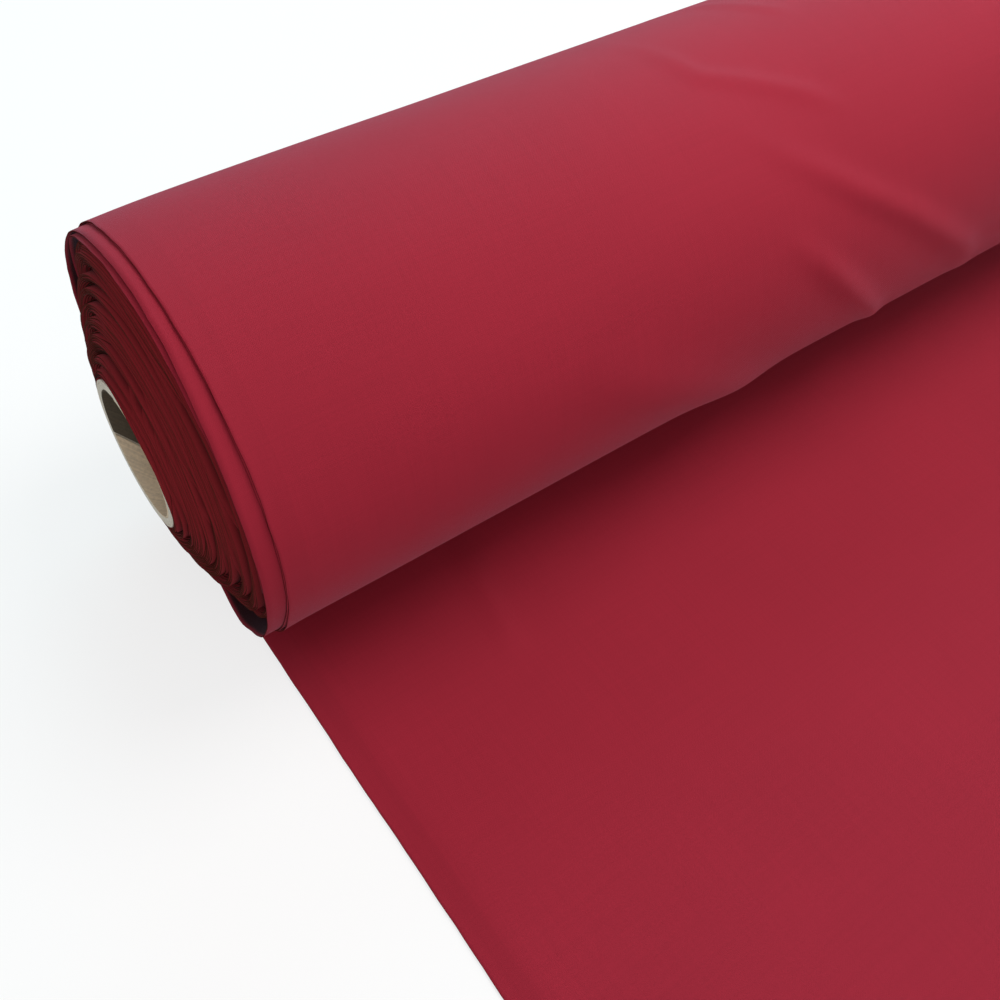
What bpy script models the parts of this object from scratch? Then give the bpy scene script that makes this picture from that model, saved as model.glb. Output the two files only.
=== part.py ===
"""A full-width roll of plain cloth on a spiral-wound paperboard tube.

The free end of the cloth lies on the table towards -Y. It runs under the roll, up its back, over the
top and down its front, and its last three turns hang loose round the wound ones.

Units are metres. +X runs along the roll and +Z is up. The origin is on the table, under the roll's
axis, at the middle of the cloth's width.
"""
import math

import bmesh
import bpy
from mathutils import Matrix, Vector

# --- Driving dimensions -------------------------------------------------------------------------

CLOTH_WIDTH = 1.500
CLOTH_THICKNESS = 0.0005
LAID_LENGTH = 0.600             # laid cloth in front of the roll's axis
LAID_BEHIND = 0.020             # laid cloth behind the axis, before it lifts off the table

TUBE_BORE = 0.050
LINER_PLY = 0.0006              # wall of the innermost strip of board
CORE_WALL = 0.0027              # wall of the strips between the liner and the outer ply
OUTER_PLY = 0.0006              # wall of the outermost strip of board
TUBE_OVERHANG = 0.010           # half of what the tube is longer than the cloth is wide
TUBE_WALK = 0.0075              # how far the tube's middle stands towards -X of the cloth's
PLY_PITCH = 0.125               # advance of a board strip in one turn round the tube
PLY_SEAM = 0.0012               # open butt seam between neighbouring edges of a strip
LINER_SEAM_TURN = 0.312         # where the liner's seam meets the left end, in turns from the top to the back

TAPE_THICKNESS = 0.00015
TAPE_WIDTH = 0.024
TAPE_LENGTH = 0.050             # along the tube's girth
TAPE_EDGE_INSET = 0.150         # middle of an end tape from the cloth's edge

WOUND_BUILD = 0.04475           # radial build of the tight turns
TELESCOPE = 0.016               # how far the innermost turn has walked towards -X
RIDGES = 5                      # ridges across an end of the tight turns
RIDGE_HEIGHT = 0.0024

LOOSE_TURNS = ("outer_turn", "second_turn", "third_turn")
LOOSE_PITCH = 0.0010            # radial step from one loose turn to the next
LOOSE_SLACK = 0.0040            # free space between the third turn and the tight turns
LOOSE_WALK = 0.0030             # how far each next turn in has walked towards -X

# --- Clearances and facets ----------------------------------------------------------------------

FIT_GAP = 0.0003                # between pieces that touch
ROUND_STEPS = 48                # facets round a turned or wound piece
PLY_STEPS = 24                  # facets in one turn of a board strip
TAPE_STEPS = 6
SMOOTH_ANGLE = math.radians(30)

# --- Sizes that follow --------------------------------------------------------------------------

LINER_INNER_R = TUBE_BORE / 2
LINER_OUTER_R = LINER_INNER_R + LINER_PLY
CORE_INNER_R = LINER_OUTER_R + FIT_GAP
CORE_OUTER_R = CORE_INNER_R + CORE_WALL
SKIN_INNER_R = CORE_OUTER_R + FIT_GAP
TUBE_OUTER_R = SKIN_INNER_R + OUTER_PLY
TAPE_INNER_R = TUBE_OUTER_R + FIT_GAP
TAPE_OUTER_R = TAPE_INNER_R + TAPE_THICKNESS
WOUND_INNER_R = TAPE_OUTER_R + FIT_GAP
WOUND_OUTER_R = WOUND_INNER_R + WOUND_BUILD
ROLL_R = WOUND_OUTER_R + LOOSE_SLACK + CLOTH_THICKNESS + LOOSE_PITCH * len(LOOSE_TURNS)
AXIS_Z = CLOTH_THICKNESS + FIT_GAP + ROLL_R

TUBE_LENGTH = CLOTH_WIDTH + 2 * TUBE_OVERHANG
TUBE_LEFT_X = -TUBE_LENGTH / 2 - TUBE_WALK
TUBE_RIGHT_X = TUBE_LENGTH / 2 - TUBE_WALK

AXIS_DIRECTION = Vector((1, 0, 0))
AXIS_POINT = Vector((0, 0, AXIS_Z))


# --- Materials ----------------------------------------------------------------------------------

def make_material(name, colour, roughness):
    material = bpy.data.materials.new(name)
    material.use_nodes = True
    shader = material.node_tree.nodes["Principled BSDF"]
    shader.inputs["Base Color"].default_value = (*colour, 1)
    shader.inputs["Roughness"].default_value = roughness
    shader.inputs["Metallic"].default_value = 0
    material.diffuse_color = (*colour, 1)
    return material


# --- Helpers ------------------------------------------------------------------------------------

def make_object(name, bm, material, parent):
    """Turn a mesh under construction into a named, smooth-shaded object about the roll's axis."""
    mesh = bpy.data.meshes.new(name)
    bm.to_mesh(mesh)
    bm.free()
    mesh.materials.append(material)
    mesh.shade_smooth()
    mesh.set_sharp_from_angle(angle=SMOOTH_ANGLE)
    part = bpy.data.objects.new(name, mesh)
    bpy.context.collection.objects.link(part)
    part.parent = parent
    return part


def turned(name, profile, material, parent):
    """A closed ring, turned about the X axis from (x, radius) points."""
    bm = bmesh.new()
    points = [bm.verts.new((x, 0, radius)) for x, radius in profile]
    edges = [bm.edges.new(pair) for pair in zip(points, points[1:] + points[:1])]
    bmesh.ops.spin(
        bm, geom=points + edges, cent=(0, 0, 0), axis=AXIS_DIRECTION,
        angle=math.tau, steps=ROUND_STEPS, use_merge=True,
    )
    bmesh.ops.recalc_face_normals(bm, faces=bm.faces)
    return make_object(name, bm, material, parent)


def wound_strip(name, inner_r, outer_r, seam_turn, material, parent):
    """A board strip wound into a tube in a helix, cut square at both ends.

    Its seam starts seam_turn from the top at the left end, and runs on towards the back and down.
    """
    bm = bmesh.new()
    start_x = TUBE_LEFT_X - PLY_PITCH * (1 + seam_turn)
    end_x = start_x + PLY_PITCH - PLY_SEAM
    corners = [(start_x, inner_r), (end_x, inner_r), (end_x, outer_r), (start_x, outer_r)]
    section = bm.faces.new([bm.verts.new((x, 0, radius)) for x, radius in corners])
    steps = math.ceil((TUBE_LENGTH / PLY_PITCH + 1 + seam_turn) * PLY_STEPS) + 1
    bmesh.ops.spin(
        bm, geom=[section], cent=(0, 0, 0), axis=-AXIS_DIRECTION,
        dvec=AXIS_DIRECTION * (PLY_PITCH / PLY_STEPS),
        angle=math.tau / PLY_STEPS * steps, steps=steps,
    )
    for cut_x, outwards in ((TUBE_LEFT_X, -AXIS_DIRECTION), (TUBE_RIGHT_X, AXIS_DIRECTION)):
        cut = bmesh.ops.bisect_plane(
            bm, geom=bm.verts[:] + bm.edges[:] + bm.faces[:],
            plane_co=(cut_x, 0, 0), plane_no=outwards, clear_outer=True,
        )
        rim = [item for item in cut["geom_cut"] if isinstance(item, bmesh.types.BMEdge)]
        bmesh.ops.triangle_fill(bm, edges=rim, use_beauty=True)
    bmesh.ops.recalc_face_normals(bm, faces=bm.faces)
    return make_object(name, bm, material, parent)


def bent_sheet(name, left_x, width, start_turn, turns, steps, outer_radius, thickness, material, parent):
    """A sheet bent round the axis, its outer face at outer_radius(turn).

    A turn is counted from straight below the axis, through the back (+Y), the top and the front.
    """
    bm = bmesh.new()
    bmesh.ops.create_grid(bm, x_segments=1, y_segments=steps, size=0.5)
    for point in bm.verts:
        turn = start_turn + turns * (point.co.y + 0.5)
        angle = math.tau * turn
        radius = outer_radius(turn)
        x = left_x + width * (point.co.x + 0.5)
        point.co = (x, radius * math.sin(angle), -radius * math.cos(angle))
    bmesh.ops.recalc_face_normals(bm, faces=bm.faces)
    for face in bm.faces:
        middle = face.calc_center_median()
        if face.normal.dot(Vector((0, middle.y, middle.z))) < 0:
            face.normal_flip()
    part = make_object(name, bm, material, parent)
    wall = part.modifiers.new("thickness", 'SOLIDIFY')
    wall.thickness = thickness
    wall.offset = -1
    wall.use_even_offset = True
    return part


# --- Pieces -------------------------------------------------------------------------------------

def make_tube(core_board, facing_board, parent):
    wound_strip("tube_liner_ply", LINER_INNER_R, LINER_OUTER_R, LINER_SEAM_TURN, core_board, parent)
    core_outline = [
        (TUBE_LEFT_X, CORE_INNER_R), (TUBE_RIGHT_X, CORE_INNER_R),
        (TUBE_RIGHT_X, CORE_OUTER_R), (TUBE_LEFT_X, CORE_OUTER_R),
    ]
    turned("tube_body", core_outline, core_board, parent)
    wound_strip("tube_outer_ply", SKIN_INNER_R, TUBE_OUTER_R, 0.0, facing_board, parent)


def make_start_tapes(tape, parent):
    """Double-sided tapes between the tube and the cloth's first edge."""
    span = TAPE_LENGTH / (math.tau * TAPE_OUTER_R)
    inset = CLOTH_WIDTH / 2 - TAPE_EDGE_INSET
    for place, centre_x in (("left", -inset), ("middle", 0), ("right", inset)):
        bent_sheet(
            f"start_tape_{place}", centre_x - TELESCOPE - TAPE_WIDTH / 2, TAPE_WIDTH,
            0.5 - span / 2, span, TAPE_STEPS, lambda turn: TAPE_OUTER_R, TAPE_THICKNESS, tape, parent,
        )


def wound_end_points():
    """The shift in X across the ends of the tight turns, as (shift, radius) from the tube outwards."""
    points = []
    for step in range(2 * RIDGES + 1):
        share = step / (2 * RIDGES)
        ridge = RIDGE_HEIGHT / 2 if step % 2 == 0 else -RIDGE_HEIGHT / 2
        points.append((ridge - TELESCOPE * (1 - share), WOUND_INNER_R + WOUND_BUILD * share))
    return points


def make_wound_turns(cloth, parent):
    half_width = CLOTH_WIDTH / 2
    right_end = [(half_width + shift, radius) for shift, radius in wound_end_points()]
    left_end = [(shift - half_width, radius) for shift, radius in reversed(wound_end_points())]
    turned("wound_turns", right_end + left_end, cloth, parent)


def make_loose_turns(cloth, parent):
    """Three turns of one spiral, each ending a hair before the next one starts."""
    gap_turn = FIT_GAP / (math.tau * ROLL_R)
    for index, name in enumerate(LOOSE_TURNS):
        left_x = -CLOTH_WIDTH / 2 - LOOSE_WALK * index
        bent_sheet(
            name, left_x, CLOTH_WIDTH, index + gap_turn, 1 - 2 * gap_turn, ROUND_STEPS,
            lambda turn: ROLL_R - LOOSE_PITCH * turn, CLOTH_THICKNESS, cloth, parent,
        )


def make_laid_cloth(cloth, parent):
    """The flat length on the table, from its cut end to just behind the roll's axis."""
    bm = bmesh.new()
    length = LAID_LENGTH + LAID_BEHIND
    centre = Vector((0, (LAID_BEHIND - LAID_LENGTH) / 2, CLOTH_THICKNESS / 2))
    size = Matrix.Diagonal((CLOTH_WIDTH, length, CLOTH_THICKNESS, 1))
    bmesh.ops.create_cube(bm, size=1, matrix=Matrix.Translation(centre) @ size)
    return make_object("laid_cloth", bm, cloth, parent)


def main():
    for old in list(bpy.data.objects):
        bpy.data.objects.remove(old, do_unlink=True)

    red_cloth = make_material("wine_red_cloth", (0.31, 0.025, 0.042), 0.82)
    core_board = make_material("kraft_board", (0.42, 0.31, 0.21), 0.90)
    facing_board = make_material("cream_board", (0.68, 0.61, 0.53), 0.85)
    tape = make_material("clear_tape", (0.82, 0.80, 0.74), 0.35)

    roll_axis = bpy.data.objects.new("roll_axis", None)
    bpy.context.collection.objects.link(roll_axis)
    roll_axis.location = AXIS_POINT

    make_tube(core_board, facing_board, roll_axis)
    make_start_tapes(tape, roll_axis)
    make_wound_turns(red_cloth, roll_axis)
    make_loose_turns(red_cloth, roll_axis)
    make_laid_cloth(red_cloth, None)
    bpy.context.view_layer.update()


main()
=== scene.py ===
"""The finished look of a full-width roll of wine-red cloth on its board tube.

Units are metres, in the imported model's frame: +X along the roll, +Z up, the free end towards -Y.
"""
import math

import bmesh
import bpy
from mathutils import Matrix, Vector, noise


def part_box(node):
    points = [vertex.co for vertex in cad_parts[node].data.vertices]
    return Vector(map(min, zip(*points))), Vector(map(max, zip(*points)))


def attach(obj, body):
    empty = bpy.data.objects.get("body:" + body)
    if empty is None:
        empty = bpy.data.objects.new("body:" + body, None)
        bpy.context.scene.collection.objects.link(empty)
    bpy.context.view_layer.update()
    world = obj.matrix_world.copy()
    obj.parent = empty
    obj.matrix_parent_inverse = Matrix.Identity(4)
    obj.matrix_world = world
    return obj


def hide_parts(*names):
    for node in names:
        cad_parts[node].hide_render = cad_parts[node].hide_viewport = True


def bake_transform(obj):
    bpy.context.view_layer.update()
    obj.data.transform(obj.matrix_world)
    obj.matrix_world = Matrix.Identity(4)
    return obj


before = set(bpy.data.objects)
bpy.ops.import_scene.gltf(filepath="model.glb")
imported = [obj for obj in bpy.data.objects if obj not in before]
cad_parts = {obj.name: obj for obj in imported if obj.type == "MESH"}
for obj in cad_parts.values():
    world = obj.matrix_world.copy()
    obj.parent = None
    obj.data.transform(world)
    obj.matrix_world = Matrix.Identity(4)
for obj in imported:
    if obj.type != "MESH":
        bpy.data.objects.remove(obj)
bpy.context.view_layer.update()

# --- Sizes from the frame -----------------------------------------------------------------------

LAID_LOW, LAID_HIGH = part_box("laid_cloth")
OUTER_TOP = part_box("outer_turn")[1].z
WOUND_LOW, WOUND_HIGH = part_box("wound_turns")
SKIN_LOW, SKIN_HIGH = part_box("tube_outer_ply")
TAPE_NODES = ("start_tape_left", "start_tape_middle", "start_tape_right")

CLOTH_LEFT = LAID_LOW.x
CLOTH_WIDTH = LAID_HIGH.x - LAID_LOW.x
LAID_LENGTH = -LAID_LOW.y
AXIS_Z = (WOUND_LOW.z + WOUND_HIGH.z) / 2
WOUND_R = WOUND_HIGH.z - AXIS_Z
TUBE_LEFT = SKIN_LOW.x
TUBE_RIGHT = SKIN_HIGH.x
TUBE_R = SKIN_HIGH.z - AXIS_Z
CORE_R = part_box("tube_body")[1].z - AXIS_Z
LINER_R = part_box("tube_liner_ply")[1].z - AXIS_Z

# --- Sizes of the cloth -------------------------------------------------------------------------

CLOTH = 0.00045                 # thickness
LOOSE_PITCH = 0.0006            # radial step from one loose turn to the next
LOOSE_TURNS = 3
RUN_IN_TURNS = 0.75             # the last part of the loose cloth, closing on the tight turns
ROLL_R = OUTER_TOP - AXIS_Z + LOOSE_PITCH / 2
THREAD_PITCH = 0.00042          # plain weave, one thread to the next
SELVEDGE = 0.010                # width of the closer woven edges
TIGHT_PITCH = 0.00056           # radial step from one tight turn to the next
TIGHT_FIRST_R = 0.0301          # middle of the first tight turn

# --- Sizes of the tube --------------------------------------------------------------------------

LINER_WALL = 0.0006
PLY_PITCH = 0.125
PLY_SEAM = 0.0009
SEAM_SHADE_WIDTH = 0.28              # share of the bore strip's width, next to its seam, darkened with painted shade
LINER_TURN = 0.312              # turns from the top, towards the back, to the bore strip's seam
BOARD_GAP = 0.00006             # glue line between two strips
BOARD_EDGE = 0.0002             # rounding of the board's cut edges
RING_STEP = 0.0005              # from one ring of board to the next on the cut end


def smooth(share):
    """0 below 0, 1 above 1, and an easy curve between."""
    share = min(max(share, 0.0), 1.0)
    return share * share * (3 - 2 * share)


def wave(x, y=0.0, z=0.0):
    """Slow random swell from -1 to 1, the same each run; a number left bare only picks its place."""
    return noise.noise(Vector((x, y, z)))


# --- Camera -------------------------------------------------------------------------------------

CAMERA_SPOT = Vector((-0.8230, -0.2771, 0.3976))
CAMERA_TURN = math.radians(-39.62)      # about +Z, from looking along +Y
CAMERA_DIP = math.radians(52.28)        # below the horizon
CAMERA_ROLL = math.radians(5.10)
CAMERA_LENS = 39.65
SENSOR_WIDTH = 36
NEAREST_SEEN = 0.01


def set_camera():
    """The first view: from the left, above and in front, down on the roll's near end."""
    camera = bpy.data.objects.new("camera", bpy.data.cameras.new("camera"))
    bpy.context.scene.collection.objects.link(camera)
    camera.data.lens = CAMERA_LENS
    camera.data.sensor_width = SENSOR_WIDTH
    camera.data.clip_start = NEAREST_SEEN
    turn = Matrix.Rotation(CAMERA_TURN, 4, 'Z')
    dip = Matrix.Rotation(math.pi / 2 - CAMERA_DIP, 4, 'X')
    roll = Matrix.Rotation(CAMERA_ROLL, 4, 'Z')
    camera.matrix_world = Matrix.Translation(CAMERA_SPOT) @ turn @ dip @ roll
    bpy.context.scene.camera = camera


set_camera()

# --- Shader groups ------------------------------------------------------------------------------

YARN_GRAINS = ((900.0, 12.0, 1.0), (12.0, 900.0, 1.0))      # yarn unevenness per metre, warp and weft
STRIP_GRAIN_ACROSS = 160.0      # streaks across one width of board strip
STRIP_GRAIN_ROUND = 9.0         # breaks in a streak in one turn
LIGHT_DEPTH = 0.005             # how far light reaches in between two turns


class Nodes:
    """A short way to place shader nodes and wire them."""

    def __init__(self, tree):
        self.tree = tree

    def add(self, kind, settings=None, **wires):
        node = self.tree.nodes.new(kind)
        for key, value in (settings or {}).items():
            setattr(node, key, value)
        for name, value in wires.items():
            self.feed(node.inputs[name.replace("_", " ")], value)
        return node

    def feed(self, socket, value):
        if isinstance(value, bpy.types.NodeSocket):
            self.tree.links.new(value, socket)
        else:
            socket.default_value = value

    def math(self, operation, *values):
        node = self.tree.nodes.new("ShaderNodeMath")
        node.operation = operation
        for socket, value in zip(node.inputs, values):
            self.feed(socket, value)
        return node.outputs[0]

    def noise(self, place, scale, detail=2.0, roughness=0.5):
        return self.add(
            "ShaderNodeTexNoise", None,
            Vector=place, Scale=scale, Detail=detail, Roughness=roughness,
        ).outputs["Fac"]


def new_group(name, inputs, outputs):
    """An empty shader group: inputs as (name, kind, value), outputs as (name, kind)."""
    tree = bpy.data.node_groups.new(name, "ShaderNodeTree")
    for socket, kind, value in inputs:
        made = tree.interface.new_socket(socket, in_out='INPUT', socket_type=kind)
        if value is not None:
            made.default_value = value
    for socket, kind in outputs:
        tree.interface.new_socket(socket, in_out='OUTPUT', socket_type=kind)
    nodes = Nodes(tree)
    return nodes, nodes.add("NodeGroupInput").outputs, nodes.add("NodeGroupOutput").inputs


def make_weave_group():
    """Plain weave on thread coordinates in metres: each spot's height and how light its yarn is."""
    nodes, given, out = new_group(
        "plain_weave",
        [("Threads", "NodeSocketVector", None), ("Pitch", "NodeSocketFloat", THREAD_PITCH)],
        [("Height", "NodeSocketFloat"), ("Yarn", "NodeSocketFloat")],
    )
    split = nodes.add("ShaderNodeSeparateXYZ", None, Vector=given["Threads"])
    waves = []
    for axis in ("X", "Y"):
        turns = nodes.math('DIVIDE', split.outputs[axis], given["Pitch"])
        waves.append(nodes.math('SINE', nodes.math('MULTIPLY', turns, math.pi)))
    crowns = [nodes.math('ABSOLUTE', value) for value in waves]
    over = nodes.math('GREATER_THAN', nodes.math('MULTIPLY', *waves), 0.0)
    under = nodes.math('SUBTRACT', 1.0, over)
    height = nodes.math(
        'ADD', nodes.math('MULTIPLY', crowns[0], over), nodes.math('MULTIPLY', crowns[1], under),
    )
    nodes.feed(out["Height"], height)
    yarns = []
    for grain in YARN_GRAINS:
        place = nodes.add("ShaderNodeMapping", None, Vector=given["Threads"], Scale=grain)
        yarns.append(nodes.noise(place.outputs[0], 1.0, 3.0))
    nodes.feed(out["Yarn"], nodes.math('MULTIPLY', nodes.math('ADD', *yarns), 0.5))
    return nodes.tree


def make_dye_group():
    """Slow unevenness of dye or pulp over a surface, as a number round 1."""
    nodes, given, out = new_group(
        "uneven_tone",
        [("Place", "NodeSocketVector", None), ("Patch Size", "NodeSocketFloat", 0.1),
         ("Strength", "NodeSocketFloat", 0.1)],
        [("Tone", "NodeSocketFloat")],
    )
    scale = nodes.math('DIVIDE', 1.0, given["Patch Size"])
    patches = nodes.noise(given["Place"], scale, 4.0)
    swing = nodes.math('MULTIPLY', nodes.math('SUBTRACT', patches, 0.5), given["Strength"])
    nodes.feed(out["Tone"], nodes.math('ADD', swing, 1.0))
    return nodes.tree


def make_strip_group():
    """Where a spot lies across a board strip wound round the axis, 0 to 1, and its streaks."""
    nodes, given, out = new_group(
        "wound_strip",
        [("Place", "NodeSocketVector", None), ("Pitch", "NodeSocketFloat", PLY_PITCH),
         ("Turned", "NodeSocketFloat", 0.0)],
        [("Across", "NodeSocketFloat"), ("Streak", "NodeSocketFloat")],
    )
    split = nodes.add("ShaderNodeSeparateXYZ", None, Vector=given["Place"])
    up = nodes.math('SUBTRACT', split.outputs["Z"], AXIS_Z)
    angle = nodes.math('ARCTAN2', nodes.math('MULTIPLY', split.outputs["Y"], -1.0), up)
    turns = nodes.math('DIVIDE', angle, math.tau)
    steps = nodes.math('DIVIDE', nodes.math('SUBTRACT', split.outputs["X"], TUBE_LEFT), given["Pitch"])
    across = nodes.math('ADD', nodes.math('ADD', steps, turns), given["Turned"])
    nodes.feed(out["Across"], nodes.math('FRACT', across))
    grain = nodes.add("ShaderNodeCombineXYZ", None, X=nodes.math('MULTIPLY', across, STRIP_GRAIN_ACROSS))
    nodes.feed(grain.inputs["Y"], nodes.math('MULTIPLY', turns, STRIP_GRAIN_ROUND))
    nodes.feed(out["Streak"], nodes.noise(grain.outputs[0], 1.0, 3.0))
    return nodes.tree


def make_ply_group():
    """Light and dark rings of glued strips on the tube's cut end."""
    nodes, given, out = new_group(
        "glued_rings",
        [("Place", "NodeSocketVector", None), ("Ring Step", "NodeSocketFloat", RING_STEP)],
        [("Ring", "NodeSocketFloat")],
    )
    split = nodes.add("ShaderNodeSeparateXYZ", None, Vector=given["Place"])
    up = nodes.math('SUBTRACT', split.outputs["Z"], AXIS_Z)
    flat = nodes.add("ShaderNodeCombineXYZ", None, X=split.outputs["Y"], Y=up)
    radius = nodes.add("ShaderNodeVectorMath", {"operation": 'LENGTH'})
    nodes.feed(radius.inputs[0], flat.outputs[0])
    steps = nodes.math('DIVIDE', radius.outputs["Value"], given["Ring Step"])
    ring = nodes.add("ShaderNodeCombineXYZ", None, X=steps)
    nodes.feed(out["Ring"], nodes.noise(ring.outputs[0], 1.0, 1.0))
    return nodes.tree


def make_depth_group():
    """How much light reaches a spot between two turns: all at the cloth's edges, less further in."""
    nodes, given, out = new_group(
        "light_between_turns",
        [("From Middle", "NodeSocketFloat", 0.0), ("Depth", "NodeSocketFloat", LIGHT_DEPTH),
         ("Least", "NodeSocketFloat", 0.3)],
        [("Tone", "NodeSocketFloat")],
    )
    share = nodes.add(
        "ShaderNodeMapRange", {"interpolation_type": 'SMOOTHSTEP'}, Value=given["From Middle"],
    )
    nodes.feed(share.inputs["From Min"], nodes.math('SUBTRACT', CLOTH_WIDTH / 2, given["Depth"]))
    nodes.feed(share.inputs["From Max"], CLOTH_WIDTH / 2)
    nodes.feed(share.inputs["To Min"], given["Least"])
    nodes.feed(out["Tone"], share.outputs[0])
    return nodes.tree


def make_inside_group():
    """1 on faces turned towards the roll's axis, 0 on the others."""
    nodes, given, out = new_group(
        "inner_side",
        [("Place", "NodeSocketVector", None), ("Normal", "NodeSocketVector", None)],
        [("Inside", "NodeSocketFloat")],
    )
    split = nodes.add("ShaderNodeSeparateXYZ", None, Vector=given["Place"])
    up = nodes.math('SUBTRACT', split.outputs["Z"], AXIS_Z)
    outwards = nodes.add("ShaderNodeCombineXYZ", None, Y=split.outputs["Y"], Z=up)
    facing = nodes.add("ShaderNodeVectorMath", {"operation": 'DOT_PRODUCT'})
    nodes.feed(facing.inputs[0], given["Normal"])
    nodes.feed(facing.inputs[1], outwards.outputs[0])
    nodes.feed(out["Inside"], nodes.math('LESS_THAN', facing.outputs["Value"], 0.0))
    return nodes.tree


WEAVE = make_weave_group()
UNEVEN = make_dye_group()
DEPTH = make_depth_group()
INSIDE = make_inside_group()
STRIP = make_strip_group()
RINGS = make_ply_group()

# --- Finishes -----------------------------------------------------------------------------------

WINE_RED = (0.352, 0.0145, 0.0345)
SHADED_WINE_RED = (0.290, 0.0190, 0.0260)         # painted shade: the wine red darkened for the tight turns, where little light comes in
EDGE_RED = (0.120, 0.0085, 0.0080)              # the loose turns' cut edges
RIDGE_RED = (0.080, 0.0125, 0.0075)             # the tight turns' edges
PULP_TAN = (0.93, 0.76, 0.56)
PULP_CREAM = (0.93, 0.86, 0.74)
TAPE_CREAM = (0.70, 0.66, 0.56)
CLOTH_ROUGHNESS = 0.8
SHEEN_TINT = (0.84, 0.72, 0.98)
SHEEN_ROUGHNESS = 0.35
DYE_PATCH = 0.09                # metres across one patch of lighter or darker dye
DYE_SWING = 0.14
YARN_TONE = (0.24, 0.88)        # how much the yarn's unevenness adds, and the tone without it
CROWN_SHADE_TONE = (0.16, 0.90)       # the same for painted shade on the threads, lighter on their crowns and darker where they dip
SELVEDGE_TONE = (-0.03, 1.0)    # and for the closer woven edges
GROOVE_SHADE_TONE = (1.2, 0.12)       # and for how open a spot of the ridged end lies: painted shade, darker deep in its grooves
GROOVE_SHADE_POWER = 1.6              # how fast the painted shade in a groove darkens with its depth
LEAST_LIGHT = 0.12              # tone between two turns, where no light reaches
WEAVE_BUMP = 0.4
WEAVE_RISE = 0.00012
BOARD_ROUGHNESS = 0.88
BOARD_SPECULAR = 0.2
PATCH_SWING = 0.30
FLECK_SWING = 0.45
STREAK_TONE = (0.5, 0.75)       # board: what the streaks add, and the tone without them
RING_TONE = (0.3, 0.85)         # and the same for the rings on its cut end
FLECK_BUMP = 0.5
FLECK_RISE = 0.0003


def new_material(name, roughness, specular, sheen=0.0, sheen_tint=(1, 1, 1), sheen_roughness=0.5):
    """A material with its Principled shader, ready for its colour and bump."""
    material = bpy.data.materials.new(name)
    material.use_nodes = True
    nodes = Nodes(material.node_tree)
    shader = material.node_tree.nodes["Principled BSDF"]
    shader.inputs["Roughness"].default_value = roughness
    shader.inputs["Specular IOR Level"].default_value = specular
    shader.inputs["Sheen Weight"].default_value = sheen
    shader.inputs["Sheen Tint"].default_value = (*sheen_tint, 1)
    shader.inputs["Sheen Roughness"].default_value = sheen_roughness
    return material, nodes, shader


def tinted(nodes, colour, *tones):
    """The colour times each tone."""
    result = None
    for tone in tones:
        mix = nodes.add("ShaderNodeVectorMath", {"operation": 'SCALE'})
        nodes.feed(mix.inputs[0], colour if result is None else result)
        nodes.feed(mix.inputs["Scale"], tone)
        result = mix.outputs[0]
    return result


def make_cloth(name, colour, sheen, specular, ridged=False, depth=None, inside_only=False):
    """Plain weave dyed in the piece, its closer woven edges darker, and painted shade between turns and
    in the grooves of the ridged end.

    Between turns, light reaches in as far as depth; inside_only leaves the outer faces as light as ever.
    """
    material, nodes, shader = new_material(
        name, roughness=CLOTH_ROUGHNESS, specular=specular, sheen=sheen, sheen_tint=SHEEN_TINT,
        sheen_roughness=SHEEN_ROUGHNESS,
    )
    threads = nodes.add("ShaderNodeUVMap", {"uv_map": "threads"}).outputs["UV"]
    place = nodes.add("ShaderNodeTexCoord").outputs["Object"]
    weave = nodes.add("ShaderNodeGroup", {"node_tree": WEAVE}, Threads=threads, Pitch=THREAD_PITCH)
    dye = nodes.add(
        "ShaderNodeGroup", {"node_tree": UNEVEN}, Place=place, Patch_Size=DYE_PATCH, Strength=DYE_SWING,
    )
    yarn_tone = nodes.math('MULTIPLY_ADD', weave.outputs["Yarn"], *YARN_TONE)
    # painted shade: the weave darker where its threads dip
    crown_shade_tone = nodes.math('MULTIPLY_ADD', weave.outputs["Height"], *CROWN_SHADE_TONE)
    across = nodes.add("ShaderNodeSeparateXYZ", None, Vector=threads).outputs["X"]
    from_middle = nodes.math('ABSOLUTE', nodes.math('SUBTRACT', across, CLOTH_WIDTH / 2))
    edge = nodes.math('GREATER_THAN', from_middle, CLOTH_WIDTH / 2 - SELVEDGE)
    edge_tone = nodes.math('MULTIPLY_ADD', edge, *SELVEDGE_TONE)
    tones = [dye.outputs["Tone"], yarn_tone, crown_shade_tone, edge_tone]
    # painted shade in the grooves of the ridged end, lighter on its ridges
    if ridged:
        exposure = nodes.add("ShaderNodeAttribute", {"attribute_name": "exposure"}).outputs["Fac"]
        exposure = nodes.math('POWER', exposure, GROOVE_SHADE_POWER)
        tones.append(nodes.math('MULTIPLY_ADD', exposure, *GROOVE_SHADE_TONE))
    # painted shade between turns, fading in from the cloth's edges
    if depth:
        reached = nodes.add(
            "ShaderNodeGroup", {"node_tree": DEPTH},
            From_Middle=from_middle, Depth=depth, Least=LEAST_LIGHT,
        ).outputs["Tone"]
        if inside_only:
            normal = nodes.add("ShaderNodeNewGeometry").outputs["Normal"]
            inside = nodes.add("ShaderNodeGroup", {"node_tree": INSIDE}, Place=place, Normal=normal)
            shaded = nodes.math('SUBTRACT', reached, 1.0)
            reached = nodes.math('MULTIPLY_ADD', inside.outputs["Inside"], shaded, 1.0)
        tones.append(reached)
    nodes.feed(shader.inputs["Base Color"], tinted(nodes, colour, *tones))
    bump = nodes.add(
        "ShaderNodeBump", None,
        Strength=WEAVE_BUMP, Distance=WEAVE_RISE, Height=weave.outputs["Height"],
    )
    nodes.feed(shader.inputs["Normal"], bump.outputs[0])
    return material


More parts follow.
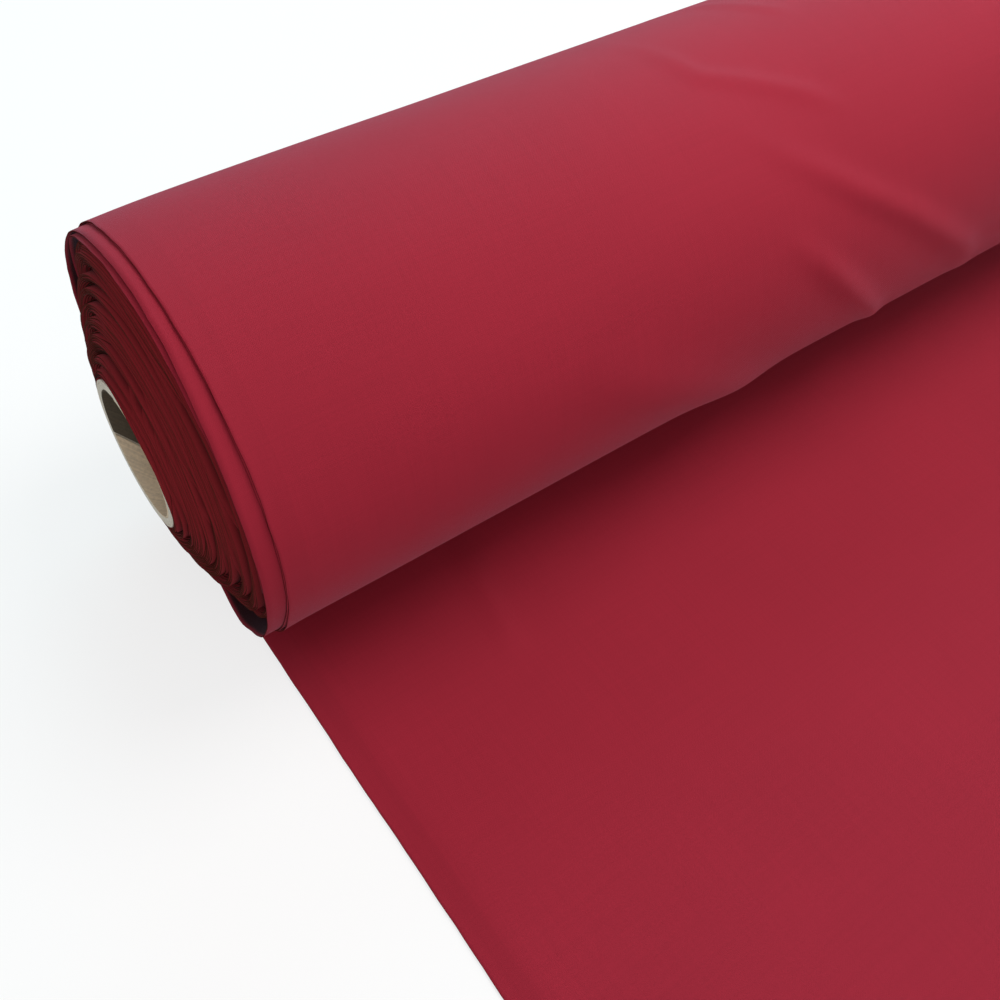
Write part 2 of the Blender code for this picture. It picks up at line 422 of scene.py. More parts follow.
def make_board(name, colour, fibre, patch, seam_shade):
    """Paperboard: pulp with short fibres, streaks along the strip, rings on the end, and painted shade
    in a band along the strip's seam.
    """
    material, nodes, shader = new_material(name, roughness=BOARD_ROUGHNESS, specular=BOARD_SPECULAR)
    place = nodes.add("ShaderNodeTexCoord").outputs["Object"]
    tone = nodes.add(
        "ShaderNodeGroup", {"node_tree": UNEVEN}, Place=place, Patch_Size=patch, Strength=PATCH_SWING,
    )
    flecks = nodes.add(
        "ShaderNodeGroup", {"node_tree": UNEVEN}, Place=place, Patch_Size=fibre, Strength=FLECK_SWING,
    )
    strip = nodes.add(
        "ShaderNodeGroup", {"node_tree": STRIP}, Place=place, Pitch=PLY_PITCH, Turned=LINER_TURN,
    )
    rings = nodes.add("ShaderNodeGroup", {"node_tree": RINGS}, Place=place, Ring_Step=RING_STEP)
    streak = nodes.math('MULTIPLY_ADD', strip.outputs["Streak"], *STREAK_TONE)
    ring = nodes.math('MULTIPLY_ADD', rings.outputs["Ring"], *RING_TONE)
    # painted shade: a dark band along the bore strip's seam, standing in for the shade inside the bore
    seam_shaded = nodes.math('LESS_THAN', strip.outputs["Across"], SEAM_SHADE_WIDTH)
    seam_shade_tone = nodes.math('MULTIPLY_ADD', seam_shaded, seam_shade - 1, 1.0)
    tones = (tone.outputs["Tone"], flecks.outputs["Tone"], streak, ring, seam_shade_tone)
    nodes.feed(shader.inputs["Base Color"], tinted(nodes, colour, *tones))
    bump = nodes.add(
        "ShaderNodeBump", None,
        Strength=FLECK_BUMP, Distance=FLECK_RISE, Height=flecks.outputs["Tone"],
    )
    nodes.feed(shader.inputs["Normal"], bump.outputs[0])
    return material


def make_tape():
    """Cloudy double-sided tape."""
    material, nodes, shader = new_material("cloudy_tape", roughness=0.38, specular=0.5)
    place = nodes.add("ShaderNodeTexCoord").outputs["Object"]
    tone = nodes.add(
        "ShaderNodeGroup", {"node_tree": UNEVEN}, Place=place, Patch_Size=0.004, Strength=0.15,
    )
    nodes.feed(shader.inputs["Base Color"], tinted(nodes, TAPE_CREAM, tone.outputs["Tone"]))
    return material


CLOTH_FINISH = make_cloth("wine_red_plain_weave", WINE_RED, sheen=0.18, specular=0.22)
LOOSE_FINISH = make_cloth(
    "wine_red_loose_turns", WINE_RED, sheen=0.18, specular=0.22, depth=0.002, inside_only=True,
)
# painted shade: the tight turns' cloth darker overall, and darker still between turns
TIGHT_FINISH = make_cloth(
    "wine_red_tight_turns", SHADED_WINE_RED, sheen=0.05, specular=0.10, depth=0.0045,
)
EDGE_FINISH = make_cloth("wine_red_turn_edges", EDGE_RED, sheen=0.0, specular=0.05)
# painted shade: the tight turns' edges darker deep in the grooves between ridges
RIDGED_FINISH = make_cloth(
    "wine_red_ridged_edges", RIDGE_RED, sheen=0.0, specular=0.05, ridged=True,
)
# how dark the painted shade along the bore strip's seam is, 1 for none
KRAFT = make_board("kraft_board", PULP_TAN, fibre=0.0012, patch=0.02, seam_shade=0.14)
CREAM = make_board("cream_board", PULP_CREAM, fibre=0.0010, patch=0.03, seam_shade=1.0)
TAPE = make_tape()

# --- Making pieces ------------------------------------------------------------------------------

SHARP_ANGLE = math.radians(40)  # edges between faces that meet at more than this stay crisp


def make_piece(name, bm, finishes, replaced):
    """The named object of a finished mesh."""
    mesh = bpy.data.meshes.new(name)
    bm.to_mesh(mesh)
    bm.free()
    mesh.shade_smooth()
    mesh.set_sharp_from_angle(angle=SHARP_ANGLE)
    for finish in finishes:
        mesh.materials.append(finish)
    piece = bpy.data.objects.new(name, mesh)
    bpy.context.scene.collection.objects.link(piece)
    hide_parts(*replaced)
    return piece


def cloth_grid(columns, rows, threads_at, place_at, exposure_at=None):
    """A rectangle of cloth: each given function takes the shares across and along it."""
    bm = bmesh.new()
    bmesh.ops.create_grid(bm, x_segments=columns, y_segments=rows, size=0.5)
    threads = bm.loops.layers.uv.new("threads")
    for face in bm.faces:
        for corner in face.loops:
            spot = corner.vert.co
            corner[threads].uv = threads_at(spot.x + 0.5, spot.y + 0.5)
    exposure = bm.verts.layers.float.new("exposure") if exposure_at else None
    for point in bm.verts:
        shares = (point.co.x + 0.5, point.co.y + 0.5)
        if exposure_at:
            point[exposure] = exposure_at(*shares)
        point.co = place_at(*shares)
    return bm


def thicken(piece, thickness):
    """Gives a sheet its thickness, its edges in the piece's last finish."""
    wall = piece.modifiers.new("thickness", 'SOLIDIFY')
    wall.thickness = thickness
    wall.offset = 0
    wall.use_quality_normals = True
    wall.material_offset_rim = len(piece.data.materials) - 1


# --- The loose cloth: laid end and loose turns --------------------------------------------------

LAID_COLUMNS = 190
LAID_ROWS = 110
OUTER_COLUMNS = 235
OUTER_ROWS = 192
INNER_COLUMNS = 36
INNER_ROWS = 96                 # in each turn under the outer one

# Where the columns stand closer: (x, reach, how much closer)
EDGE_CROWDS = ((-0.750, 0.012, 6.0), (0.750, 0.012, 6.0))
LAID_CROWDS = EDGE_CROWDS + ((-0.670, 0.030, 1.5),)
OUTER_CROWDS = EDGE_CROWDS + ((-0.480, 0.080, 2.0),)
INNER_CROWDS = ((-0.750, 0.025, 30.0), (0.750, 0.025, 30.0))

# Where the cloth's edges have walked to along X: (turns past the table, metres)
EDGE_WALK = (
    (0.0, 0.0), (1.1, 0.0), (1.5, -0.0003), (1.72, -0.0003), (2.0, -0.0034), (2.5, -0.0052),
    (2.7, -0.0080), (2.82, -0.0076), (2.9, -0.0066), (3.0, -0.0028), (3.1, 0.0), (3.25, -0.0012),
    (3.45, -0.0066), (3.6, -0.0072), (4.0, -0.0078),
)

# How the cloth's edges stray along X: (metres, swells in a turn, where the swell starts)
EDGE_WANDERS = ((0.0005, 3.1, 4.7), (0.0003, 17.0, 8.3), (0.00035, 47.0, 2.1))

# Folds on the outer turns: height, half width, and the crest as (x, degrees from the top to the front)
FOLDS = (
    (0.0012, 0.0046, (
        (-0.540, -30), (-0.529, -6), (-0.523, 8), (-0.504, 16), (-0.484, 25), (-0.462, 37),
    )),
    (0.0007, 0.0042, ((-0.500, -36), (-0.480, -26), (-0.468, -12), (-0.455, 0))),
    (0.0024, 0.0058, (
        (-0.532, 22), (-0.505, 41), (-0.477, 56), (-0.446, 70), (-0.398, 94), (-0.340, 140),
    )),
    (0.0026, 0.0056, ((-0.528, 54), (-0.503, 70), (-0.482, 84), (-0.452, 104), (-0.405, 142))),
    (0.0028, 0.0140, ((-0.640, 62), (-0.604, 80), (-0.560, 98), (-0.525, 116), (-0.470, 150))),
    (0.0022, 0.0100, ((-0.260, 10), (-0.215, 45), (-0.150, 80), (-0.110, 112))),
    (0.0018, 0.0090, ((-0.060, -60), (-0.020, -20), (0.060, 15), (0.120, 40))),
    (0.0024, 0.0110, ((0.060, 50), (0.120, 75), (0.210, 98), (0.260, 120))),
    (0.0016, 0.0080, ((0.300, -95), (0.345, -60), (0.420, -30), (0.460, 0))),
    (0.0022, 0.0100, ((0.440, 40), (0.500, 66), (0.560, 90), (0.590, 115))),
)

# Short folds in the laid cloth: height, half width, and the crest as (x, y)
LAID_FOLDS = (
    (0.0016, 0.0048, ((-0.655, -0.045), (-0.660, -0.064), (-0.665, -0.090), (-0.670, -0.118))),
    (0.0011, 0.0080, ((-0.420, -0.330), (-0.300, -0.365), (-0.180, -0.370))),
    (0.0012, 0.0090, ((0.100, -0.160), (0.180, -0.210), (0.300, -0.230))),
    (0.0010, 0.0080, ((0.420, -0.420), (0.500, -0.380), (0.610, -0.370))),
)

FOLD_REACH = 3                  # half widths over which a fold is felt
FOLD_RISE = 0.45                # share of a fold's length over which it rises
FOLD_FALL = 0.25                # and over which it dies away
COLUMN_SAMPLES = 3000
SELVEDGE_DROP = 0.0022          # how far the laid cloth slopes down along its edges
SELVEDGE_SLOPE = 1.4            # width of that slope, in selvedge widths
EDGE_SWELL = 0.4                # share of the laid cloth's swell left along its edges
LAID_SWELL = 0.0018
LAID_SLOW = (4.2, 5.5)          # swells per metre along X and Y
LAID_FINE = (13.0, 9.0)
LAID_FLAT = 0.012               # laid cloth in front of the axis that lies quite flat
LAID_RISE = 0.07                # and the length over which its swell comes in
FINE_SHARE = 0.3                # of the fine swell in the whole
CUT_WANDER = 0.0025             # how far the cut end strays from straight
CUT_SWELLS = 7.0                # its swells per metre
CUT_FROM = 5 / 6                # share of the laid length past which the cloth strays with it
LOOSE_SWELL = 0.0009
LOOSE_SLOW = (4.0, 1.3)         # swells per metre along X, and round the axis
LOOSE_FINE = (15.0, 3.0)
LOOSE_FREE = math.radians(70)   # from the table up, where the loose turns' swell comes in
LIFT_OFF_TURN = 0.2             # part of a turn in which the laid cloth lifts to its radius
FLARE = 0.0004                  # how far the outer turn's edges stand up, over about FLARE_WIDTH
FLARE_WIDTH = 0.004
FLARE_MIDDLE = 0.8              # of the flare, which varies from none to twice this
FLARE_SWELLS = (13.0, 2.0)      # in a turn, and per metre along X
DROOP = 0.0014                  # how far the loose turns' edges hang down above and behind the axis
DROOP_WIDTH = 0.014
DROOP_MIDDLE = -0.6             # radians from the top, towards the back
DROOP_SPAN = 1.2
INNER_FLARE = 0.3               # share of the flare on the turns under the outer one
SNUG = 0.0028                   # how far the tight turns fill out, above and in front


def between(points, value):
    """Eased value between (place, value) pairs."""
    for (low, first), (high, second) in zip(points, points[1:]):
        if value <= high:
            return first + (second - first) * smooth((value - low) / (high - low))
    return points[-1][1]


def loose_radius(turn):
    """Middle of the cloth's thickness, from the roll's axis."""
    spiral = ROLL_R - CLOTH / 2 - LOOSE_PITCH * turn
    lift_off = (AXIS_Z - ROLL_R) * (1 - smooth(turn / LIFT_OFF_TURN))
    last = ROLL_R - CLOTH / 2 - LOOSE_PITCH * (LOOSE_TURNS + RUN_IN_TURNS)
    landing = (WOUND_R + SNUG + CLOTH - last) * smooth((turn - LOOSE_TURNS) / RUN_IN_TURNS)
    return spiral + lift_off + landing


def crest_distance(path, x, y):
    """Distance from a place to a fold's crest, and how far along it the nearest point lies, 0 to 1."""
    nearest = (1.0, 0.0)
    parts = len(path) - 1
    for part, ((x0, y0), (x1, y1)) in enumerate(zip(path, path[1:])):
        run_x = x1 - x0
        run_y = y1 - y0
        share = ((x - x0) * run_x + (y - y0) * run_y) / (run_x * run_x + run_y * run_y)
        share = min(max(share, 0.0), 1.0)
        distance = math.hypot(x - x0 - share * run_x, y - y0 - share * run_y)
        nearest = min(nearest, (distance, (part + share) / parts))
    return nearest


def fold_height(folds, x, y):
    """How high the folds stand at a place on the unrolled surface."""
    height = 0.0
    for lift, half_width, path in folds:
        reach = FOLD_REACH * half_width
        ends = (path[0][0], path[-1][0])
        if not min(ends) - reach < x < max(ends) + reach:
            continue
        distance, along = crest_distance(path, x, y)
        fade = smooth(along / FOLD_RISE) * (1 - smooth((along - 1 + FOLD_FALL) / FOLD_FALL))
        height += lift * fade * math.exp(-(distance / half_width) ** 2)
    return height


def on_roll(folds):
    """The folds with their crests' angles turned into lengths round the roll."""
    return [
        (lift, width, [(x, math.radians(degrees) * ROLL_R) for x, degrees in path])
        for lift, width, path in folds
    ]


ROLL_FOLDS = on_roll(FOLDS)


def loose_swell(x, angle):
    """How far the loose turns stand out from a true spiral."""
    round_y = math.cos(angle)
    round_z = math.sin(angle)
    slow_x, slow_round = LOOSE_SLOW
    fine_x, fine_round = LOOSE_FINE
    slow = wave(x * slow_x, slow_round * round_y, slow_round * round_z)
    fine = wave(x * fine_x, fine_round * round_y, fine_round * round_z + 9.0)
    return LOOSE_SWELL * (slow + FINE_SHARE * fine)


def edge_wander(turn):
    """How far the cloth's edges stray along X."""
    return sum(strays * wave(turn * swells, seed) for strays, swells, seed in EDGE_WANDERS)


def laid_height(x, y, from_edge):
    """How far the laid cloth stands off the table."""
    slow = 0.5 + 0.5 * wave(x * LAID_SLOW[0], y * LAID_SLOW[1], 3.0)
    fine = 0.5 + 0.5 * wave(x * LAID_FINE[0], y * LAID_FINE[1], 7.0)
    edge = smooth(from_edge / (SELVEDGE_SLOPE * SELVEDGE))
    free = smooth((-y - LAID_FLAT) / LAID_RISE)
    swell = LAID_SWELL * (slow + FINE_SHARE * fine) * (EDGE_SWELL + (1 - EDGE_SWELL) * edge)
    return free * (swell + SELVEDGE_DROP * edge + fold_height(LAID_FOLDS, x, y))


def web_place(across, turn):
    """Where a spot of the laid cloth (turn below 0) or the loose turns (above 0) lies."""
    x = CLOTH_LEFT + CLOTH_WIDTH * across + edge_wander(turn)
    from_edge = CLOTH_WIDTH * min(across, 1 - across)
    if turn <= 0:
        y = LAID_LENGTH * turn
        near_cut = smooth((-turn - CUT_FROM) / (1 - CUT_FROM))
        cut = CUT_WANDER * wave(x * CUT_SWELLS, 1.7) * near_cut
        return Vector((x, y + cut, CLOTH / 2 + laid_height(x, y, from_edge)))
    angle = math.tau * turn
    from_top = angle % math.tau - math.pi
    clear = smooth((math.pi - abs(from_top)) / LOOSE_FREE)
    swell = loose_swell(x, from_top)
    uneven = FLARE_MIDDLE * (1 + wave(turn * FLARE_SWELLS[0], x * FLARE_SWELLS[1]))
    flare = FLARE * math.exp(-from_edge / FLARE_WIDTH) * uneven
    if turn < 1:
        swell += fold_height(ROLL_FOLDS, x, from_top * ROLL_R) + flare
    else:
        swell += INNER_FLARE * flare
    hanging = smooth(DROOP_SPAN - abs(from_top - DROOP_MIDDLE))
    droop = DROOP * math.exp(-from_edge / DROOP_WIDTH) * hanging
    radius = loose_radius(turn) + clear * swell - droop
    x += between(EDGE_WALK, turn)
    return Vector((x, radius * math.sin(angle), AXIS_Z - radius * math.cos(angle)))


def web_length(turn):
    """Length of cloth from the free end to a turn."""
    if turn <= 0:
        return LAID_LENGTH * (1 + turn)
    return LAID_LENGTH + math.tau * turn * (ROLL_R - LOOSE_PITCH * turn / 2)


def spread_columns(count, crowds):
    """Shares across the cloth for count columns, closer together at the crowds."""
    total = [0.0]
    for sample in range(COLUMN_SAMPLES):
        x = CLOTH_LEFT + CLOTH_WIDTH * (sample + 0.5) / COLUMN_SAMPLES
        near = sum(more * math.exp(-((x - place) / reach) ** 2) for place, reach, more in crowds)
        total.append(total[-1] + 1 + near)
    shares = []
    sample = 0
    for column in range(count + 1):
        goal = total[-1] * column / count
        while sample < COLUMN_SAMPLES - 1 and total[sample + 1] < goal:
            sample += 1
        part = (goal - total[sample]) / (total[sample + 1] - total[sample])
        shares.append((sample + part) / COLUMN_SAMPLES)
    return shares


def web_piece(name, columns, crowds, rows, first_turn, last_turn, replaced):
    """One stretch of the loose cloth, from one turn to another."""
    shares = spread_columns(columns, crowds)

    def spot(across, along):
        return shares[round(across * columns)], first_turn + (last_turn - first_turn) * along

    def threads(across, along):
        share, turn = spot(across, along)
        return (CLOTH_WIDTH * share, web_length(turn))

    def place(across, along):
        return web_place(*spot(across, along))

    bm = cloth_grid(columns, rows, threads, place)
    finish = CLOTH_FINISH if first_turn < 0 else LOOSE_FINISH
    piece = make_piece(name, bm, (finish, EDGE_FINISH), replaced)
    thicken(piece, CLOTH)
    return piece


def make_loose_cloth():
    """The laid end, which bends where the roll lifts it, the outer turn, and the turns under it."""
    laid = web_piece("laid_end_cloth", LAID_COLUMNS, LAID_CROWDS, LAID_ROWS, -1, 0, ("laid_cloth",))
    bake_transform(laid)
    outer = web_piece(
        "outer_turn_cloth", OUTER_COLUMNS, OUTER_CROWDS, OUTER_ROWS, 0, 1, ("outer_turn",),
    )
    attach(outer, "loose_turns")
    inner_end = LOOSE_TURNS + RUN_IN_TURNS
    inner = web_piece(
        "inner_turns_cloth", INNER_COLUMNS, INNER_CROWDS, round(INNER_ROWS * (inner_end - 1)),
        1, inner_end, ("second_turn", "third_turn"),
    )
    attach(inner, "loose_turns")


# --- The tight turns ----------------------------------------------------------------------------

TIGHT_STEPS = 80                # facets in one turn
TIGHT_STATIONS = (0.0, 0.012, 0.988, 1.0)
OUTER_SHIFT = -0.0068           # where the outermost tight turn has walked to along X
CONE = -0.0117                  # how much further the innermost one has
CONE_CURVE = 1.5                # 1 for a straight cone, more for one that steepens inwards
PROUD_TILT = 0.0022             # how much further out the first turns stand above than below the tube
TILT_TURNED = math.radians(135)
TILT_CURVE = 3                  # how fast that dies away outwards
RIDGE_SPREAD = 0.0050           # radial distance from one ridge of edges to the next
RIDGE_LEAN = 0.6                # spreads by which a ridge strays in and out on its way round
LEAN_SWELLS = (0.5, 60.0)       # round the axis, and per metre of radius
RIDGE_SPACING = 0.7             # spreads by which the ridges are unevenly spaced
SPACING_SWELLS = 150.0          # per metre of radius
RIDGE_MIDDLE = 0.62             # how deep the groove under an ordinary ridge is, out of 1
RIDGE_SWING = 1.9               # how unlike each other the ridges are
RIDGE_SWELLS = (5.3, 0.7)       # from one ridge to the next, and round the axis
RIDGE_LEAST = 0.05
RIDGE_MOST = 1.2
RIDGE_INNER = 0.4               # share of their depth that the ridges have next to the tube
RIDGE_DEPTH = 0.0066
RIDGE_SLOPE = 2.4               # how sharply a groove closes towards its ridge
RIDGE_STEP = 0.14               # share of the spread in which the cloth drops into the next groove
RIDGE_START = 0.08              # build at which the ridges have their full depth
FINE_STRAY = 0.0009             # how far each turn's edge strays on its own
FINE_SWELLS = 0.73              # from one turn to the next
BELLY = -0.0014                 # how much further out the middle turns stand behind and below
BELLY_BUILD = 0.4               # build at that bulge's middle
BELLY_REACH = 0.25              # and its reach on either side
LAST_GROOVE = 0.0035            # how far back the outermost tight turn lies, under the loose turns
LAST_BUILD = 0.9                # build at which the turns start to draw back to it
SAG = 0.0030                    # how far the outermost tight turns draw in behind and below
SAG_SHIFT = 0.0070              # and how far they draw in along X there
SAG_TURNED = math.radians(40)   # from straight below towards the back, where they sag most
SAG_SHARPNESS = 0.9             # how sudden the change from sagging to snug is
SAG_CURVE = 3                   # how fast the sag grows over the outer half of the build


def tight_count():
    """How many tight turns there are."""
    return (WOUND_R - CLOTH / 2 - TIGHT_FIRST_R) / TIGHT_PITCH


def tight_build(radius):
    """0 at the tube, 1 at the outermost tight turn."""
    return (radius - TIGHT_FIRST_R) / (WOUND_R - TIGHT_FIRST_R)


def sagging(angle):
    """1 behind and below the axis, 0 above and in front; angles grow from below to the front."""
    return smooth(0.5 + SAG_SHARPNESS * math.cos(angle + SAG_TURNED))


def ridge_strength(group, angle):
    """How deep the groove under one ridge of edges is at an angle."""
    step, around = RIDGE_SWELLS
    swing = wave(group * step, around * math.cos(angle), around * math.sin(angle))
    return min(max(RIDGE_MIDDLE + RIDGE_SWING * swing, RIDGE_LEAST), RIDGE_MOST)


def tight_groove(radius, angle):
    """How deep a spot lies in the grooves between the ridges of edges, 0 on a ridge to about 1."""
    around, outwards = LEAN_SWELLS
    lean = wave(around * math.cos(angle), around * math.sin(angle), radius * outwards)
    spacing = wave(radius * SPACING_SWELLS)
    group = radius / RIDGE_SPREAD + RIDGE_LEAN * lean + RIDGE_SPACING * spacing
    part = group % 1.0
    falling = ridge_strength(math.floor(group), angle) * (1 - part) ** RIDGE_SLOPE
    step = smooth((part - 1 + RIDGE_STEP) / RIDGE_STEP)
    rising = ridge_strength(math.floor(group) + 1, angle) * step
    return max(falling, rising)


def tight_shift(radius, angle):
    """How far a spot of the tight turns has walked along X: a cone, with ridges of edges across it."""
    build = tight_build(radius)
    cone = OUTER_SHIFT + CONE * (1 - build) ** CONE_CURVE
    tilted = 0.5 - 0.5 * math.cos(angle - TILT_TURNED)
    tilt = PROUD_TILT * tilted * (1 - build) ** TILT_CURVE
    depth = RIDGE_DEPTH * (RIDGE_INNER + (1 - RIDGE_INNER) * build) * smooth(build / RIDGE_START)
    ridge = depth * tight_groove(radius, angle)
    turn = radius / TIGHT_PITCH
    fine = FINE_STRAY * wave(turn * FINE_SWELLS, math.cos(angle), math.sin(angle))
    recede = SAG_SHIFT * sagging(angle) * max(2 * build - 1, 0) ** SAG_CURVE
    groove = LAST_GROOVE * smooth((build - LAST_BUILD) / (1 - LAST_BUILD))
    belly = BELLY * sagging(angle) * math.exp(-((build - BELLY_BUILD) / BELLY_REACH) ** 2)
    return cone + tilt + belly + ridge + fine + max(recede, groove)


def tight_spot(along):
    """Angle wound so far and radius, at a share of the tight turns' length."""
    angle = math.tau * tight_count() * along
    radius = TIGHT_FIRST_R + (WOUND_R - CLOTH / 2 - TIGHT_FIRST_R) * along
    return angle, radius


def tight_station(across):
    """Share of the cloth's width at a column of the grid."""
    return TIGHT_STATIONS[round(across * (len(TIGHT_STATIONS) - 1))]


def tight_place(across, along):
    """Where a spot of the tight turns lies."""
    angle, radius = tight_spot(along)
    station = tight_station(across)
    x = CLOTH_LEFT + CLOTH_WIDTH * station + tight_shift(radius, angle)
    loose = sagging(angle)
    radius += (SNUG * (1 - loose) - SAG * loose) * tight_build(radius) ** 2
    return Vector((x, -radius * math.sin(angle), AXIS_Z - radius * math.cos(angle)))


def tight_exposure(across, along):
    """How open a spot lies, for the painted shade in the grooves: 1 on the ridges of edges, 0 at the
    bottom of the deepest grooves.
    """
    angle, radius = tight_spot(along)
    return 1 - min(tight_groove(radius, angle), 1.0)


def tight_threads(across, along):
    """Its place on the unrolled cloth."""
    station = tight_station(across)
    angle, radius = tight_spot(along)
    return (CLOTH_WIDTH * station, angle * (TIGHT_FIRST_R + radius) / 2)


def make_tight_turns():
    """One long spiral of cloth from the tube out to the loose turns."""
    rows = round(TIGHT_STEPS * tight_count())
    bm = cloth_grid(len(TIGHT_STATIONS) - 1, rows, tight_threads, tight_place, tight_exposure)
    piece = make_piece(
        "tight_turns", bm, (TIGHT_FINISH, RIDGED_FINISH), ("wound_turns",),
    )
    thicken(piece, CLOTH)
    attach(piece, "wound_roll")


# --- The board tube -----------------------------------------------------------------------------

TUBE_STEPS = 96


def turned_ring(profile, steps):
    """A ring about the roll's axis, turned from (x, radius) points."""
    bm = bmesh.new()
    points = [bm.verts.new((x, 0, AXIS_Z + radius)) for x, radius in profile]
    edges = [bm.edges.new(pair) for pair in zip(points, points[1:] + points[:1])]
    bmesh.ops.spin(
        bm, geom=points + edges, cent=(0, 0, AXIS_Z), axis=(1, 0, 0),
        angle=math.tau, steps=steps, use_merge=True,
    )
    bmesh.ops.recalc_face_normals(bm, faces=bm.faces)
    return bm


def wound_strip(inner_r, outer_r, seam, seam_turn, steps):
    """A board strip wound round the axis, cut square at the tube's ends."""
    bm = bmesh.new()
    start_x = TUBE_LEFT - PLY_PITCH * (1 + seam_turn)
    end_x = start_x + PLY_PITCH - seam
    corners = [(start_x, inner_r), (end_x, inner_r), (end_x, outer_r), (start_x, outer_r)]
    section = bm.faces.new([bm.verts.new((x, 0, AXIS_Z + radius)) for x, radius in corners])
    count = math.ceil(((TUBE_RIGHT - TUBE_LEFT) / PLY_PITCH + 1 + seam_turn) * steps) + 1
    bmesh.ops.spin(
        bm, geom=[section], cent=(0, 0, AXIS_Z), axis=(-1, 0, 0), dvec=(PLY_PITCH / steps, 0, 0),
        angle=math.tau / steps * count, steps=count,
    )
    for cut_x, outwards in ((TUBE_LEFT, (-1, 0, 0)), (TUBE_RIGHT, (1, 0, 0))):
        cut = bmesh.ops.bisect_plane(
            bm, geom=bm.verts[:] + bm.edges[:] + bm.faces[:],
            plane_co=(cut_x, 0, 0), plane_no=outwards, clear_outer=True,
        )
        rim = [item for item in cut["geom_cut"] if isinstance(item, bmesh.types.BMEdge)]
        bmesh.ops.triangle_fill(bm, edges=rim, use_beauty=True)
    bmesh.ops.recalc_face_normals(bm, faces=bm.faces)
    return bm


def make_tube():
    """The bore strip, the glued strips in the middle as one wall, and the facing strip."""
    liner = wound_strip(LINER_R - LINER_WALL, LINER_R, PLY_SEAM, LINER_TURN, TUBE_STEPS // 2)
    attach(make_piece("bore_strip", liner, (KRAFT,), ("tube_liner_ply",)), "wound_roll")
    inner = LINER_R + BOARD_GAP
    outer = CORE_R
    left = TUBE_LEFT + BOARD_EDGE
    right = TUBE_RIGHT - BOARD_EDGE
    outline = (
        (TUBE_LEFT, inner + BOARD_EDGE), (left, inner), (right, inner),
        (TUBE_RIGHT, inner + BOARD_EDGE), (TUBE_RIGHT, outer - BOARD_EDGE), (right, outer),
        (left, outer), (TUBE_LEFT, outer - BOARD_EDGE),
    )
    core = turned_ring(outline, TUBE_STEPS)
    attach(make_piece("tube_wall", core, (CREAM,), ("tube_body",)), "wound_roll")
    skin = wound_strip(CORE_R + BOARD_GAP, TUBE_R, PLY_SEAM, 0.0, TUBE_STEPS // 2)
    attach(make_piece("facing_strip", skin, (CREAM,), ("tube_outer_ply",)), "wound_roll")


# --- The start tapes ----------------------------------------------------------------------------

TAPE_THICKNESS = 0.00012
TAPE_COLUMNS = 6
TAPE_ROWS = 16


def make_tapes():
    """Short tapes bent round the tube under the cloth's first edge."""
    for node in TAPE_NODES:
        low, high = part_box(node)
        radius = AXIS_Z - low.z
        if high.z > AXIS_Z:
            radius = high.z - AXIS_Z
        half_angle = math.asin(high.y / radius)

        def place(across, along):
            angle = half_angle * (2 * along - 1)
            x = low.x + (high.x - low.x) * across
            return Vector((x, radius * math.sin(angle), AXIS_Z + radius * math.cos(angle)))

        bm = cloth_grid(TAPE_COLUMNS, TAPE_ROWS, lambda across, along: (across, along), place)
        piece = make_piece(node + "_strip", bm, (TAPE,), (node,))
        thicken(piece, TAPE_THICKNESS)
        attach(piece, "wound_roll")


make_loose_cloth()
make_tight_turns()
make_tube()
make_tapes()

# --- Floor and light ----------------------------------------------------------------------------

FLOOR_SIZE = 40.0
FLOOR_DROP = 0.0002             # just under what lies on it
FLOOR_GREY = 0.93               # as the camera sees it
FLOOR_BOUNCE = 0.35             # how much light the floor gives back to the roll
FLOOR_GLOW = 1.05               # brightness its shadows are lifted towards
FLOOR_LIFT = 0.7                # and how far


def make_floor():
    """A pale floor whose shadows are lifted where the camera sees it."""
    bm = bmesh.new()
    bmesh.ops.create_grid(bm, x_segments=1, y_segments=1, size=FLOOR_SIZE)
    mesh = bpy.data.meshes.new("floor")
    bm.to_mesh(mesh)
    bm.free()
    floor = bpy.data.objects.new("floor", mesh)
    floor.location.z = -FLOOR_DROP
    bpy.context.scene.collection.objects.link(floor)
    material, nodes, shader = new_material("pale_floor", roughness=0.9, specular=0.1)
    seen = nodes.add("ShaderNodeLightPath").outputs["Is Camera Ray"]
    pale = nodes.math('MULTIPLY_ADD', seen, FLOOR_GREY - FLOOR_BOUNCE, FLOOR_BOUNCE)
    grey = nodes.add("ShaderNodeCombineColor", None, Red=pale, Green=pale, Blue=pale)
    nodes.feed(shader.inputs["Base Color"], grey.outputs[0])
    glow = nodes.add("ShaderNodeEmission", None, Strength=FLOOR_GLOW)
    blended = nodes.add("ShaderNodeMixShader")
    nodes.feed(blended.inputs[0], nodes.math('MULTIPLY', seen, FLOOR_LIFT))
    nodes.feed(blended.inputs[1], shader.outputs[0])
    nodes.feed(blended.inputs[2], glow.outputs[0])
    nodes.feed(material.node_tree.nodes["Material Output"].inputs["Surface"], blended.outputs[0])
    mesh.materials.append(material)


LIGHT_AIM = Vector((-0.4, 0, AXIS_Z))
ROOM_BRIGHT_SIDE = (0.72, 0.10, 0.68)   # direction in which the room is brightest
ROOM_DIM = 0.16
ROOM_BRIGHT = 0.60

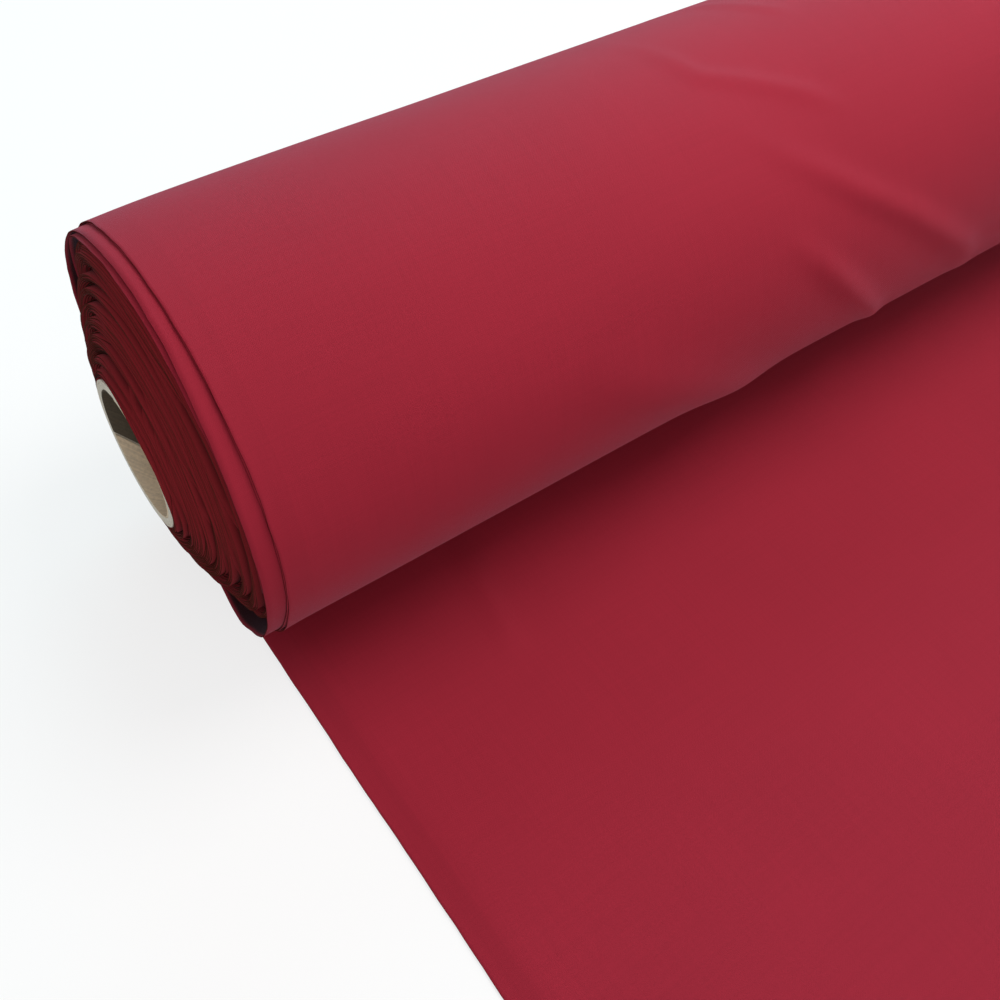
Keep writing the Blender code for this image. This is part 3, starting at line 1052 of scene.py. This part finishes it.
# Soft lights, all aimed at one place on the roll: name, place, size across, power, colour
LIGHTS = (
    ("overhead", (-0.25, -0.10, 0.86), 0.6, 3.9, (1.0, 0.97, 0.95)),
    ("window_behind", (0.5, 1.6, 1.3), 1.5, 22.0, (0.35, 0.90, 1.0)),
    ("front_low", (-0.3, -4.0, 1.25), 2.5, 31.0, (1.0, 0.98, 0.98)),
    ("left_low", (-2.0, -0.5, 0.20), 0.9, 3.2, (1.0, 0.97, 0.92)),
)


def add_light(name, spot, size, power, colour):
    """A soft round light that the camera doesn't see."""
    data = bpy.data.lights.new(name, 'AREA')
    data.shape = 'DISK'
    data.size = size
    data.energy = power
    data.color = colour
    light = bpy.data.objects.new(name, data)
    light.location = spot
    light.visible_camera = False
    light.rotation_euler = (LIGHT_AIM - Vector(spot)).to_track_quat('-Z', 'Y').to_euler()
    bpy.context.scene.collection.objects.link(light)


def set_light():
    """A room that lights most from above and the right, seen as white, and the soft lights."""
    scene = bpy.context.scene
    scene.view_settings.view_transform = 'Standard'
    world = bpy.data.worlds.new("studio")
    scene.world = world
    world.use_nodes = True
    nodes = Nodes(world.node_tree)
    towards = nodes.add("ShaderNodeTexCoord").outputs["Generated"]
    side = nodes.add("ShaderNodeVectorMath", {"operation": 'DOT_PRODUCT'})
    nodes.feed(side.inputs[0], towards)
    nodes.feed(side.inputs[1], ROOM_BRIGHT_SIDE)
    share = nodes.add(
        "ShaderNodeMapRange", {"interpolation_type": 'SMOOTHSTEP'}, Value=side.outputs["Value"],
    )
    nodes.feed(share.inputs["From Min"], -1.0)
    nodes.feed(share.inputs["To Min"], ROOM_DIM)
    nodes.feed(share.inputs["To Max"], ROOM_BRIGHT)
    seen = nodes.add("ShaderNodeLightPath").outputs["Is Camera Ray"]
    strength = nodes.math('MAXIMUM', share.outputs[0], seen)
    nodes.feed(world.node_tree.nodes["Background"].inputs["Strength"], strength)
    world.node_tree.nodes["Background"].inputs["Color"].default_value = (1, 1, 1, 1)
    for name, spot, size, power, colour in LIGHTS:
        add_light(name, spot, size, power, colour)


make_floor()
set_light()
